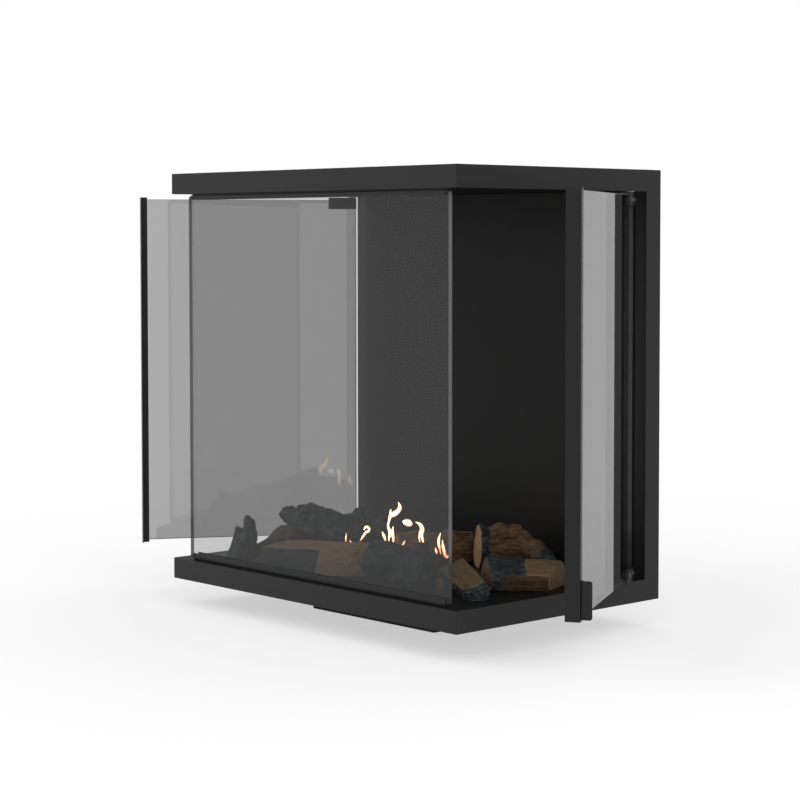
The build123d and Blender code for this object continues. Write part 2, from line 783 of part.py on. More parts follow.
stump_log = rough_log(
    (-0.812, -0.555, -0.133),
    (-0.827, -0.506, 2.8),
    [(1.27, 0.9), (1.1, 0.83), (0.97, 0.8), (1, 0.73), (0.87, 0.6)],
    0.07,
)
with BuildPart() as forked_stump:
    add(stump_log)
    with BuildSketch(Plane.XZ):
        notch = [bed_point(*corner) for corner in ((-0.852, 0, 1.73), (-0.81, 0, 3.2), (-0.888, 0, 3.2))]
        Polygon(*[(corner.X, corner.Z) for corner in notch], align=None)
    extrude(amount=frame_depth / 2, mode=Mode.SUBTRACT)
finish(forked_stump, "stump_log")

left_brown_log = rough_log(
    (-0.78, -0.36, 0.6),
    (-0.78, 0.251, 1.467),
    [(0.73, 0.73), (0.8, 0.8), (0.83, 0.83), (0.8, 0.83), (0.77, 0.8), (0.73, 0.73)],
    0.06,
    supports=[forked_stump],
)
finish(left_brown_log, "left_brown_log")

front_split_log = rough_log(
    (-0.56, -0.547, 0),
    (0.088, -0.547, 0),
    [(1.6, 2.4), (1.8, 2.8), (1.9, 2.93), (1.87, 2.87), (1.93, 3), (1.87, 2.93)],
    0.05,
    splits=[
        ((-0.56, -0.547, 1.267), (-0.08, -0.06, 1)),
        ((-0.56, -0.547, 0), (-1, -0.25, 0)),
        ((-0.005, -0.628, 0), (0.751, -0.661, 0.1)),
    ],
)
finish(front_split_log, "front_split_log")

back_charred_log = rough_log(
    (-0.844, -0.026, 2.267),
    (-0.255, 0.091, 1.6),
    [(0.87, 0.93), (1.13, 1.23), (1.23, 1.27), (1.17, 1.4), (1.1, 1.47), (0.97, 1.53), (0.8, 1.47)],
    0.09,
    supports=[left_brown_log],
)
finish(back_charred_log, "back_charred_log")

front_charred_log = rough_log(
    (0.074, -0.449, 1),
    (0.383, -0.303, 0.8),
    [(1.13, 1.27), (1.23, 1.4), (1.17, 1.4), (1.23, 1.27), (1.1, 1.2)],
    0.08,
    supports=[front_split_log],
)
finish(front_charred_log, "front_charred_log")

diagonal_charred_log = rough_log(
    (0.51, -0.803, 0.5),
    (0.388, -0.392, 2.2),
    [(0.57, 0.6), (0.67, 0.67), (0.67, 0.7), (0.63, 0.67), (0.5, 0.53)],
    0.09,
    supports=[front_charred_log],
)
finish(diagonal_charred_log, "diagonal_charred_log")

front_right_log = rough_log(
    (0.859, -0.575, 0.4),
    (0.466, -0.205, 0.4),
    [(0.77, 0.8), (0.83, 0.9), (0.8, 0.87), (0.8, 0.83), (0.7, 0.77)],
    0.07,
    splits=[((0.663, -0.392, 0.9), (0.35, 0.3, 1))],
    supports=[front_charred_log, diagonal_charred_log],
)
finish(front_right_log, "front_right_log")

right_split_log = rough_log(
    (0.685, -0.238, 0.333),
    (0.869, 0.192, 0.067),
    [(1.1, 1.93), (1.17, 2.07), (1.13, 2), (1.13, 1.93), (1.03, 1.8)],
    0.06,
    splits=[
        ((0.736, -0.181, 2.2), (0.3, 0.12, 1)),
        ((0.687, -0.23, 0), (-0.75, -0.65, 0.1)),
    ],
    supports=[front_right_log],
)
finish(right_split_log, "right_split_log")

back_brown_log = rough_log(
    (-0.123, 0.108, 1),
    (0.079, 0.648, 1),
    [(0.83, 0.93), (0.9, 1), (0.97, 1.03), (1, 1.03), (0.93, 1)],
    0.06,
)
finish(back_brown_log, "back_brown_log")

back_short_log = rough_log(
    (0.226, 0.454, 1.033),
    (0.363, 0.741, 1.033),
    [(1.13, 1.17), (1.2, 1.23), (1.27, 1.27), (1.2, 1.23), (1.13, 1.17)],
    0.06,
)
finish(back_short_log, "back_short_log")

leaning_log = rough_log(
    (0.368, 0.774, 2.2),
    (0.699, 0.58, 0.467),
    [(0.47, 0.47), (0.53, 0.53), (0.53, 0.53), (0.53, 0.53), (0.47, 0.5)],
    0.06,
    supports=[back_short_log],
)
finish(leaning_log, "leaning_log")
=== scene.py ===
import json
import math

import bpy
from mathutils import Matrix, Vector


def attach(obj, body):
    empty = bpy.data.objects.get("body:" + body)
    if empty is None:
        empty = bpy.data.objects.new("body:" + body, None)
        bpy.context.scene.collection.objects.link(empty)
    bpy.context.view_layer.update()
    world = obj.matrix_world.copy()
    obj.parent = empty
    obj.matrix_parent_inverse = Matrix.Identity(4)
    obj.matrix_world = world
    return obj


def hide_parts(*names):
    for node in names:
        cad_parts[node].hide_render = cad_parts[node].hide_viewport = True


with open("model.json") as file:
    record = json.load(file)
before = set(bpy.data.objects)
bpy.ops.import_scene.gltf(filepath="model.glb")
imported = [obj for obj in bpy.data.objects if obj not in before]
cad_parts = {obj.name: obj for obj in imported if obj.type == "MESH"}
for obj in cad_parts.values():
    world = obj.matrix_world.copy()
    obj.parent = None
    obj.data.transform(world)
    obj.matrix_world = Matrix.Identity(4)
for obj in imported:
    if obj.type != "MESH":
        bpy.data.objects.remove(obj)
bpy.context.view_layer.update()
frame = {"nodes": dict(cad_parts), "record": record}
nodes = frame["nodes"]

# Top of the floor plate, in metres
FLOOR = max(vertex.co.z for vertex in nodes["base_tray"].data.vertices)
# How far the doors stand open at rest
door_swing = math.radians(30.7)


# Finishes
class Finish:
    """A Principled finish with its node tree at hand."""

    def __init__(self, name, color=(0.5, 0.5, 0.5), roughness=0.5, **sockets):
        self.material = bpy.data.materials.new(name)
        self.material.use_nodes = True
        self.tree = self.material.node_tree
        self.shader = self.tree.nodes["Principled BSDF"]
        self.set(self.shader, "Base Color", (*color, 1))
        self.set(self.shader, "Roughness", roughness)
        for key, value in sockets.items():
            self.set(self.shader, key.replace("_", " "), value)
        self.place = self.node("ShaderNodeTexCoord").outputs["Object"]

    def set(self, node, socket, value):
        node.inputs[socket].default_value = value

    def node(self, kind, **sockets):
        node = self.tree.nodes.new(kind)
        for key, value in sockets.items():
            if hasattr(node, key):
                setattr(node, key, value)
            else:
                node.inputs[key.replace("_", " ")].default_value = value
        return node

    def link(self, out, socket):
        self.tree.links.new(out, socket)

    def noise(self, scale, detail=3, rough=0.5, place=None):
        noise = self.node("ShaderNodeTexNoise", Scale=scale, Detail=detail, Roughness=rough)
        self.link(place or self.place, noise.inputs["Vector"])
        return noise.outputs["Fac"]

    def ramp(self, fac, *stops):
        ramp = self.node("ShaderNodeValToRGB")
        band = ramp.color_ramp
        while len(band.elements) < len(stops):
            band.elements.new(0.5)
        for element, (where, color) in zip(band.elements, stops):
            element.position = where
            element.color = (*color, 1)
        self.link(fac, ramp.inputs["Fac"])
        return ramp.outputs["Color"]

    def span(self, fac, low, high, start=0.0, end=1.0):
        """Low at start, high at end, and even between them."""
        span = self.node("ShaderNodeMapRange")
        for socket, value in zip(("From Min", "From Max", "To Min", "To Max"), (start, end, low, high)):
            self.set(span, socket, value)
        self.link(fac, span.inputs["Value"])
        return span.outputs["Result"]

    def mix(self, fac, first, second):
        mix = self.node("ShaderNodeMix", data_type="RGBA")
        self.link(fac, mix.inputs[0])
        for socket, value in ((6, first), (7, second)):
            if isinstance(value, bpy.types.NodeSocket):
                self.link(value, mix.inputs[socket])
            else:
                mix.inputs[socket].default_value = (*value, 1)
        return mix.outputs[2]

    def math(self, operation, first, second=0.0):
        node = self.node("ShaderNodeMath", operation=operation)
        for socket, value in enumerate((first, second)):
            if isinstance(value, bpy.types.NodeSocket):
                self.link(value, node.inputs[socket])
            else:
                node.inputs[socket].default_value = value
        return node.outputs[0]

    def part_of(self, vector, axis):
        """One axis of a place."""
        split = self.node("ShaderNodeSeparateXYZ")
        self.link(vector, split.inputs[0])
        return split.outputs[axis]

    def shader_mix(self, fac, first, second):
        mix = self.node("ShaderNodeMixShader")
        self.link(fac, mix.inputs[0])
        self.link(first, mix.inputs[1])
        self.link(second, mix.inputs[2])
        return mix.outputs[0]

    def bump(self, height, strength, distance):
        bump = self.node("ShaderNodeBump", Strength=strength, Distance=distance)
        self.link(height, bump.inputs["Height"])
        self.link(bump.outputs["Normal"], self.shader.inputs["Normal"])

    def color_from(self, out):
        self.link(out, self.shader.inputs["Base Color"])

    def roughness_from(self, out):
        self.link(out, self.shader.inputs["Roughness"])

    def surface_from(self, out):
        self.link(out, self.tree.nodes["Material Output"].inputs["Surface"])


def toned(color, share):
    return tuple(channel * share for channel in color)


def powder_coat(name, tone, roughness, grain=600.0, relief=0.02, shine=0.28):
    coat = Finish(name, tone, roughness, Specular_IOR_Level=shine)
    coat.color_from(coat.mix(coat.noise(6, 3), toned(tone, 0.88), toned(tone, 1.12)))
    coat.roughness_from(coat.span(coat.noise(40, 4), roughness - 0.04, roughness + 0.05))
    coat.bump(coat.noise(grain, 2), relief, 0.0004)
    return coat.material


def plain_metal(name, tone, roughness, streak=(1, 1, 12)):
    metal = Finish(name, tone, roughness, Metallic=1.0)
    along = metal.node("ShaderNodeMapping")
    metal.set(along, "Scale", streak)
    metal.link(metal.place, along.inputs["Vector"])
    fine = metal.noise(300, 3, place=along.outputs["Vector"])
    metal.color_from(metal.mix(fine, toned(tone, 0.85), tone))
    metal.roughness_from(metal.span(fine, roughness - 0.07, roughness + 0.07))
    metal.bump(fine, 0.08, 0.0003)
    return metal.material


def soft_black(name, tone, roughness, weave):
    strip = Finish(name, tone, roughness)
    pattern = strip.node("ShaderNodeTexWave", Scale=weave, Distortion=1.5)
    strip.link(strip.place, pattern.inputs["Vector"])
    strip.color_from(strip.mix(pattern.outputs["Fac"], toned(tone, 0.6), tone))
    strip.bump(pattern.outputs["Fac"], 0.3, 0.0004)
    return strip.material


def pane_glass(name, outward, tint, gloss, edge_reflection_high, edge_reflection_low):
    """Toned pane: clear and mirroring across its faces, ground along its edges.

    gloss is the mirrored share seen straight on, and edge_reflection_high and edge_reflection_low are the
    ground edge's
    colours above and beside the fire bed: its grey with a painted reflection, lighter above the fire
    bed and darker beside it where the edge would show the dark logs."""
    glass = Finish(name, edge_reflection_high, 0.4, Specular_IOR_Level=0.4)
    clear = glass.node("ShaderNodeBsdfTransparent")
    glass.link(glass.mix(glass.noise(3, 2), (tint * 0.99,) * 3, (tint * 1.01,) * 3), clear.inputs["Color"])
    mirror = glass.node("ShaderNodeBsdfGlossy", Roughness=0.01)
    glance = glass.node("ShaderNodeLayerWeight").outputs["Facing"]
    mirrored = glass.span(glass.math("POWER", glance, 5.0), gloss, 1)
    face = glass.shader_mix(mirrored, clear.outputs[0], mirror.outputs[0])

    facing = glass.node("ShaderNodeVectorMath", operation="DOT_PRODUCT")
    glass.link(glass.node("ShaderNodeTexCoord").outputs["Normal"], facing.inputs[0])
    facing.inputs[1].default_value = outward
    edge = glass.math("LESS_THAN", glass.math("ABSOLUTE", facing.outputs["Value"]), 0.9)
    # Painted reflection: the ground edge turns lighter above the fire bed and stays darker beside it
    reflection_height_share = glass.span(glass.part_of(glass.place, "Z"), 0, 1, FLOOR + 0.07, FLOOR + 0.1)
    glass.color_from(glass.mix(reflection_height_share, edge_reflection_low, edge_reflection_high))
    ground = glass.node("ShaderNodeMixShader", Fac=0.85)
    glass.link(face, ground.inputs[1])
    glass.link(glass.shader.outputs[0], ground.inputs[2])
    glass.surface_from(glass.shader_mix(edge, face, ground.outputs[0]))
    return glass.material


liner_black = powder_coat("fire_back_coat", (0.0062, 0.006, 0.0056), 0.5, relief=0.0, shine=0.25)
by_slot = {
    "satin_black": powder_coat("satin_black_coat", (0.005, 0.005, 0.0053), 0.42),
    "matte_black": powder_coat("matte_heat_coat", (0.006, 0.006, 0.0058), 0.62, shine=0.25),
    "rail_black": powder_coat("fine_rail_coat", (0.006, 0.006, 0.0062), 0.38, shine=0.3),
    "zinc_steel": plain_metal("zinc_plate", (0.45, 0.46, 0.47), 0.4),
    "pin_steel": plain_metal("dark_pin_steel", (0.2, 0.2, 0.21), 0.35),
    "brass": plain_metal("turned_brass", (0.7, 0.5, 0.22), 0.3),
    "pipe_aluminium": plain_metal("drawn_aluminium", (0.62, 0.62, 0.63), 0.36),
    "fibre_strip": soft_black("fibre_strip", (0.05, 0.05, 0.05), 0.9, 400),
    "block_rubber": soft_black("block_rubber", (0.03, 0.03, 0.03), 0.7, 150),
    "module_plastic": powder_coat("module_plastic", (0.02, 0.02, 0.022), 0.5, grain=1500),
    "electrode_ceramic": powder_coat("glazed_ceramic", (0.75, 0.73, 0.68), 0.25, relief=0.02),
}

# Ground edge colours above and beside the fire bed, a painted reflection of the white room and the dark
# logs
front_edge_reflection = ((0.15, 0.155, 0.155), (0.022, 0.022, 0.021))
door_edge_reflection = ((0.2, 0.205, 0.205), (0.1, 0.1, 0.1))
across, back = math.cos(door_swing), math.sin(door_swing)
panes = {
    "front_glass": pane_glass("front_pane_glass", (0, 1, 0), 0.76, 0.031, *front_edge_reflection),
    "right_door_glass": pane_glass("right_pane_glass", (across, back, 0), 0.62, 0.085, *door_edge_reflection),
    "left_door_glass": pane_glass("left_pane_glass", (-across, back, 0), 0.62, 0.085, *door_edge_reflection),
}
behind_fire = {"back_liner": liner_black, "ceiling_panel": liner_black}

for row in frame["record"]["subparts"]:
    name = row["node"]
    finish = panes.get(name) or behind_fire.get(name) or by_slot.get(row["material_slot"])
    if finish:
        nodes[name].data.materials.clear()
        nodes[name].data.materials.append(finish)


# The log bed
def spot(x, y, height):
    """A place in the fire bed, in millimetres, its height from the floor plate."""
    return Vector((x / 1000, y / 1000, FLOOR + height / 1000))


def log_frame(ends):
    """A log's start and the turn that lays X along it."""
    start, end = (spot(*place) for place in ends)
    axis = (end - start).normalized()
    side = Vector((0, 0, 1)).cross(axis).normalized()
    turn = Matrix((axis, side, axis.cross(side))).transposed().to_euler()
    return start, turn


def grain_place(finish, ends, stretch):
    """Object coordinates laid along a log and stretched down its length."""
    start, turn = log_frame(ends)
    lay = finish.node("ShaderNodeMapping", vector_type="TEXTURE")
    lay.inputs["Location"].default_value = start
    lay.inputs["Rotation"].default_value = turn
    lay.inputs["Scale"].default_value = (stretch, 1, 1)
    finish.link(finish.place, lay.inputs["Vector"])
    return lay.outputs["Vector"]


def painted_highlight(finish, low, high):
    """Share of painted highlight on whatever stands out, as where light catches it."""
    return finish.span(finish.node("ShaderNodeNewGeometry").outputs["Pointiness"], 0, 1, low, high)


def cracked_char(finish, place, highlight_share):
    """Colours of burnt wood, blue-grey plates between dark cracks with a painted highlight where it stands
    out, and the share outside the cracks.
    """
    plates = finish.node("ShaderNodeTexVoronoi", Scale=130.0, feature="DISTANCE_TO_EDGE")
    finish.link(place, plates.inputs["Vector"])
    plate = finish.span(plates.outputs["Distance"], 0, 1, 0, 0.12)
    ash = finish.ramp(
        finish.noise(60, 5, 0.65, place),
        (0.3, (0.009, 0.011, 0.013)),
        (0.55, (0.035, 0.043, 0.048)),
        (0.78, (0.13, 0.15, 0.16)),
    )
    body = finish.mix(plate, (0.003, 0.003, 0.004), ash)
    # Painted highlight: light blue-grey where the wood stands out
    return finish.mix(highlight_share, body, (0.2, 0.225, 0.235)), plate


def burnt_share(finish, ends, burnt, border):
    """Share of char between two distances down a log, its limits moved to and fro by border."""
    fade = 0.002
    ragged = finish.math("ADD", finish.part_of(grain_place(finish, ends, 1.0), "X"), border)
    begun = finish.span(ragged, 0, 1, burnt[0] - fade, burnt[0] + fade)
    ended = finish.span(ragged, 1, 0, burnt[1] - fade, burnt[1] + fade)
    return finish.math("MULTIPLY", begun, ended)


def bark_finish(name, ends, tones, burnt=None):
    """Bark in two browns along a log, burnt black between two distances from its start."""
    dark, light = tones
    middle = tuple((a + b) / 2 for a, b in zip(dark, light))
    bark = Finish(name, light, 0.92, Specular_IOR_Level=0.25)
    long_grain = grain_place(bark, ends, 3.5)
    ribs = bark.noise(110, 6, 0.6, long_grain)
    color = bark.ramp(ribs, (0.32, dark), (0.52, middle), (0.72, light))
    # Painted highlight: bark that stands out turns a lighter brown, and its char blue-grey
    color = bark.mix(painted_highlight(bark, 0.5, 0.62), color, toned(light, 1.6))
    char, plate = cracked_char(bark, long_grain, painted_highlight(bark, 0.52, 0.66))
    if burnt:
        border = bark.span(bark.noise(45, 4, 0.6, grain_place(bark, ends, 1.0)), -0.012, 0.012)
        color = bark.mix(burnt_share(bark, ends, burnt, border), color, char)
    bark.color_from(color)
    bark.bump(bark.math("ADD", ribs, bark.math("MULTIPLY", plate, 0.35)), 0.7, 0.0016)
    return bark.material


def char_finish(name, ends):
    """Bark burnt all over."""
    char = Finish(name, (0.03, 0.03, 0.035), 0.85, Specular_IOR_Level=0.35)
    place = grain_place(char, ends, 1.8)
    # Painted highlight where the char stands out
    color, plate = cracked_char(char, place, painted_highlight(char, 0.51, 0.66))
    char.color_from(color)
    char.bump(char.math("ADD", plate, char.noise(200, 4, 0.6, place)), 0.8, 0.0016)
    return char.material


def split_finish(name, ends, tone, burnt=None):
    """Split wood: fine lines down the grain, scorched here and there."""
    wood = Finish(name, tone, 0.85, Specular_IOR_Level=0.25)
    fibres = wood.noise(420, 4, 0.6, grain_place(wood, ends, 22))
    bands = wood.noise(90, 3, 0.5, grain_place(wood, ends, 12))
    color = wood.ramp(fibres, (0.3, toned(tone, 0.5)), (0.52, tone), (0.75, toned(tone, 1.35)))
    color = wood.mix(wood.span(bands, 0, 0.55, 0.5, 0.68), color, toned(tone, 0.42))
    scorch = wood.span(wood.noise(22, 4, 0.6), 0, 0.7, 0.58, 0.72)
    color = wood.mix(scorch, color, (0.03, 0.024, 0.02))
    if burnt:
        border = wood.span(wood.noise(45, 4, 0.6), -0.015, 0.015)
        # Painted highlight where the char stands out
        char, _ = cracked_char(wood, grain_place(wood, ends, 4), painted_highlight(wood, 0.52, 0.66))
        color = wood.mix(burnt_share(wood, ends, burnt, border), color, char)
    wood.color_from(color)
    wood.bump(wood.math("ADD", fibres, bands), 0.5, 0.0012)
    return wood.material


def pick(obj):
    """Only this object is selected and active."""
    bpy.ops.object.select_all(action="DESELECT")
    obj.select_set(True)
    bpy.context.view_layer.objects.active = obj


def apply_modifier(obj, kind, **settings):
    modifier = obj.modifiers.new(kind.lower(), kind)
    for key, value in settings.items():
        setattr(modifier, key, value)
    pick(obj)
    bpy.ops.object.modifier_apply(modifier=modifier.name)


def relief_pattern(name, kind, **settings):
    pattern = bpy.data.textures.new(name, kind)
    for key, value in settings.items():
        setattr(pattern, key, value)
    return pattern


lump_pattern = relief_pattern("log_lumps", "CLOUDS", noise_scale=1.0, noise_depth=1)
ridge_pattern = relief_pattern("bark_ridges", "CLOUDS", noise_scale=1.0, noise_depth=3)
crack_pattern = relief_pattern(
    "char_plates", "VORONOI", noise_scale=1.0, weight_1=-1.0, weight_2=1.0, noise_intensity=1.3
)
# Sizes in metres of one lump, ridge or plate: along, across and through the log
LUMP = (0.04, 0.03, 0.03)
RIDGE = (0.05, 0.012, 0.012)
SHORT_RIDGE = (0.03, 0.011, 0.011)
PLATE = (0.018, 0.01, 0.01)


def guide(start, turn, scale):
    """Empty that lays a relief pattern along a log."""
    bpy.ops.object.empty_add(location=start, rotation=turn)
    empty = bpy.context.object
    empty.scale = scale
    bpy.context.view_layer.update()
    return empty


def limb(start, end, thick, thin):
    """Tapered stick between two places; its radii are in millimetres."""
    first, last = spot(*start), spot(*end)
    bpy.ops.object.select_all(action="DESELECT")
    bpy.ops.mesh.primitive_cone_add(
        vertices=18,
        radius1=thick / 1000,
        radius2=thin / 1000,
        depth=(last - first).length,
        location=(first + last) / 2,
        rotation=(last - first).to_track_quat("Z", "Y").to_euler(),
    )
    return bpy.context.object


def burl(x, y, height, radius, squash=1.0):
    """Rounded lump of wood, its height squash times its width."""
    bpy.ops.object.select_all(action="DESELECT")
    size = radius / 1000
    bpy.ops.mesh.primitive_ico_sphere_add(
        subdivisions=3, radius=1, location=spot(x, y, height), scale=(size, size, size * squash)
    )
    return bpy.context.object


def solid_log(node):
    """Copy of the plain solid log."""
    log = bpy.data.objects.new(f"{node}_copy", nodes[node].data.copy())
    bpy.context.collection.objects.link(log)
    log.data.materials.clear()
    pick(log)
    bpy.ops.object.mode_set(mode="EDIT")
    bpy.ops.mesh.select_all(action="SELECT")
    bpy.ops.mesh.remove_doubles(threshold=0.00005)
    bpy.ops.object.mode_set(mode="OBJECT")
    return log


def one_skin(pieces, planes):
    """Join the pieces of a log in one closed skin, cut along its planes and at the floor."""
    union_voxel, skin_voxel, floor_gap = 0.002, 0.0014, 0.0003
    bpy.ops.object.select_all(action="DESELECT")
    for piece in pieces:
        piece.select_set(True)
    log = bpy.context.view_layer.objects.active = pieces[0]
    bpy.ops.object.join()
    bpy.ops.object.transform_apply(location=True, rotation=True, scale=True)
    apply_modifier(log, "REMESH", mode="VOXEL", voxel_size=union_voxel)
    bpy.ops.object.mode_set(mode="EDIT")
    for point, normal in planes + [(Vector((0, 0, FLOOR + floor_gap)), Vector((0, 0, -1)))]:
        bpy.ops.mesh.select_all(action="SELECT")
        bpy.ops.mesh.bisect(plane_co=point, plane_no=normal, use_fill=True, clear_outer=True)
    bpy.ops.object.mode_set(mode="OBJECT")
    apply_modifier(log, "REMESH", mode="VOXEL", voxel_size=skin_voxel)
    apply_modifier(log, "SMOOTH", factor=0.5, iterations=3)
    return log


def nearest_cuts(log, planes):
    """Which cut each vertex lies on, or None where it is bark."""
    reach = 0.0018
    found = []
    for vertex in log.data.vertices:
        on = [i for i, (point, normal) in enumerate(planes) if (vertex.co - point).dot(normal) > -reach]
        found.append(on[0] if on else None)
    return found


def press_relief(log, ends, cut_of, reliefs):
    """Raise lumps, ridges and plates on the bark, little on the cuts and none at the floor."""
    skin = log.vertex_groups.new(name="bark")
    for vertex, cut in zip(log.data.vertices, cut_of):
        resting = vertex.co.z < FLOOR + 0.002
        weight = 1.0 if cut is None else 0.25
        skin.add([vertex.index], 0.0 if resting else weight, "REPLACE")
    start, turn = log_frame(ends)
    for pattern, size, depth in reliefs:
        empty = guide(start, turn, size)
        apply_modifier(
            log,
            "DISPLACE",
            texture=pattern,
            texture_coords="OBJECT",
            texture_coords_object=empty,
            strength=depth / 1000,
            mid_level=0.5,
            vertex_group="bark",
        )
        bpy.data.objects.remove(empty)


def dress_log(node, slot, ends, bark, pieces, cuts=(), lump=6, ridge=6, crack=0, ridge_size=RIDGE):
    """Carve a finer log in place of the plain one.

    cuts lists (point, normal, finish) of the split and end faces, where the wood is cut away.
    lump, ridge and crack are depths in millimetres."""
    planes = [(spot(*point), Vector(normal).normalized()) for point, normal, _ in cuts]
    log = one_skin(pieces, planes)
    log.name = f"{node}_bark"
    cut_of = nearest_cuts(log, planes)
    reliefs = [(lump_pattern, LUMP, lump), (ridge_pattern, ridge_size, ridge)]
    if crack:
        reliefs.append((crack_pattern, PLATE, crack))
    press_relief(log, ends, cut_of, reliefs)

    log.data.materials.clear()
    log.data.materials.append(bark)
    for _, _, finish in cuts:
        log.data.materials.append(finish)
    for face in log.data.polygons:
        on_cut = [cut_of[i] for i in face.vertices]
        if None not in on_cut:
            face.material_index = min(on_cut) + 1
    pick(log)
    bpy.ops.object.shade_smooth()
    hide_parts(node)
    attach(log, "root")


BROWN_BARK = ((0.03, 0.018, 0.011), (0.17, 0.102, 0.057))
# Darker copy of the brown bark, painted shade for the log on the right of the fire bed
SHADED_BARK = ((0.018, 0.011, 0.007), (0.1, 0.06, 0.033))
# The last tan is a darker copy of the first, painted shade for the right of the fire bed
TAN, PLAIN_TAN, SHADED_TAN = (0.4, 0.26, 0.14), (0.26, 0.17, 0.093), (0.16, 0.108, 0.062)
# Distance in metres before any log's start
BEFORE = -1


def stump_log():
    ends = ((-334, -148, 0), (-326, -139, 80))
    pieces = [
        limb((-334, -148, -8), (-328, -141, 42), 34, 21),
        limb((-346, -160, -10), (-340, -153, 24), 20, 13),
        limb((-323, -136, 30), (-324, -137, 73), 16, 11),
        burl(-327, -139, 70, 9, 1.4),
        limb((-341, -154, 18), (-340, -153, 54), 13, 8),
        burl(-340, -153, 53, 8),
        limb((-318, -128, -4), (-298, -100, 30), 18, 10),
    ]
    bark = char_finish("stump_char", ends)
    fine_ridge = (0.03, 0.009, 0.009)
    dress_log("stump_log", "brown_log", ends, bark, pieces, lump=4, ridge=5, crack=3, ridge_size=fine_ridge)


def left_brown_log():
    ends = ((-318, -104, 4), (-318, 44, 46))
    pieces = [
        limb((-343, -94, 2), (-320, -40, 36), 15, 24),
        limb((-322, -60, 28), (-318, 44, 44), 22, 26),
        burl(-324, -50, 30, 22),
        burl(-320, -12, 44, 24),
    ]
    bark = bark_finish("left_bark", ends, BROWN_BARK)
    dress_log("left_brown_log", "brown_log", ends, bark, pieces, lump=7)


def back_charred_log():
    ends = ((-340, -22, 70), (-104, 6, 52))
    pieces = [
        limb((-326, -20, 54), (-104, 6, 50), 25, 27),
        burl(-337, -25, 70, 20),
        burl(-303, -19, 70, 24),
        burl(-278, -16, 77, 25),
        burl(-255, -12, 72, 25),
        burl(-250, -10, 48, 28),
        burl(-227, -8, 70, 24),
        burl(-214, -7, 44, 26),
        burl(-203, -6, 66, 22),
        burl(-172, -1, 63, 26),
        burl(-144, 3, 84, 20, 1.15),
        burl(-140, 3, 52, 28),
        burl(-112, 6, 66, 27),
    ]
    bark = char_finish("back_char", ends)
    depths = {"lump": 8, "ridge": 9, "crack": 5}
    dress_log("back_charred_log", "charred_log", ends, bark, pieces, ridge_size=SHORT_RIDGE, **depths)


def front_split_log():
    ends = ((-228, -150, 0), (36, -150, 0))
    end_tan = (0.3, 0.198, 0.108)
    cuts = [
        ((-228, -150, 37.6), (-0.08, -0.06, 1), split_finish("front_split_top", ends, PLAIN_TAN)),
        ((-2.3, -169.7, 0), (0.751, -0.661, 0.1), split_finish("front_split_end", ends, end_tan)),
        ((-227.6, -150, 0), (-1, -0.25, 0), split_finish("front_split_left", ends, PLAIN_TAN)),
    ]
    bark = char_finish("front_split_char", ends)
    pieces = [solid_log("front_split_log")]
    dress_log("front_split_log", "split_log", ends, bark, pieces, cuts, lump=7, ridge=7, crack=3)


def front_charred_log():
    ends = ((30, -126, 30), (156, -90, 24))
    pieces = [
        solid_log("front_charred_log"),
        burl(50, -120, 42, 27),
        burl(84, -112, 44, 24),
        burl(150, -92, 34, 25),
    ]
    bark = char_finish("front_char", ends)
    depths = {"lump": 7, "ridge": 7, "crack": 2}
    long_ridge = (0.07, 0.011, 0.011)
    dress_log("front_charred_log", "charred_log", ends, bark, pieces, ridge_size=long_ridge, **depths)


def diagonal_charred_log():
    ends = ((208, -213, 15), (158, -112, 66))
    pieces = [
        solid_log("diagonal_charred_log"),
        burl(200, -196, 22, 21),
        burl(166, -128, 52, 15),
    ]
    bark = char_finish("diagonal_char", ends)
    dress_log("diagonal_charred_log", "charred_log", ends, bark, pieces, lump=7, crack=4)


def front_right_log():
    ends = ((350, -157, 12), (190, -66, 24))
    pieces = [
        solid_log("front_right_log"),
        limb((350, -158, 13), (188, -65, 30), 26, 27),
        burl(344, -152, 12, 25),
    ]
    # Darkened tan: painted shade on the right of the fire bed
    split = split_finish("front_right_split", ends, (0.125, 0.085, 0.048))
    bark = char_finish("front_right_char", ends)
    cuts = [((270, -112, 34), (-0.15, -0.35, 0.92), split)]
    dress_log("front_right_log", "charred_log", ends, bark, pieces, cuts, crack=4)


def right_split_log():
    ends = ((256, -86, 19), (380, 50, 14))
    pieces = [limb((256, -86, 19), (388, 59, 14), 42, 36)]
    top = split_finish("right_split_top", ends, SHADED_TAN, (BEFORE, 0.1))
    cuts = [
        ((321, -71, 33), (0.35, -0.24, 0.91), top),
        ((275, -65, 0), (-0.5, -0.86, 0.1), split_finish("right_split_end", ends, SHADED_TAN)),
        ((374, 10, 0), (0.93, 0.37, 0), split_finish("right_far_end", ends, SHADED_TAN)),
    ]
    bark = bark_finish("right_bark", ends, SHADED_BARK, (BEFORE, 0.058))
    dress_log("right_split_log", "split_log", ends, bark, pieces, cuts, lump=5)


def back_brown_log():
    ends = ((-50, 10, 30), (32, 138, 30))
    pieces = [
        solid_log("back_brown_log"),
        burl(10, 96, 44, 23),
        burl(-30, 40, 40, 25),
        burl(24, 118, 22, 34),
    ]
    cuts = [
        ((-49, 11, 30), (-0.54, -0.84, 0), split_finish("back_brown_end", ends, TAN)),
        ((31, 137, 30), (0.54, 0.84, 0), split_finish("back_brown_far", ends, TAN)),
    ]
    bark = bark_finish("back_brown_bark", ends, BROWN_BARK)
    dress_log("back_brown_log", "brown_log", ends, bark, pieces, cuts, lump=9, ridge=9)


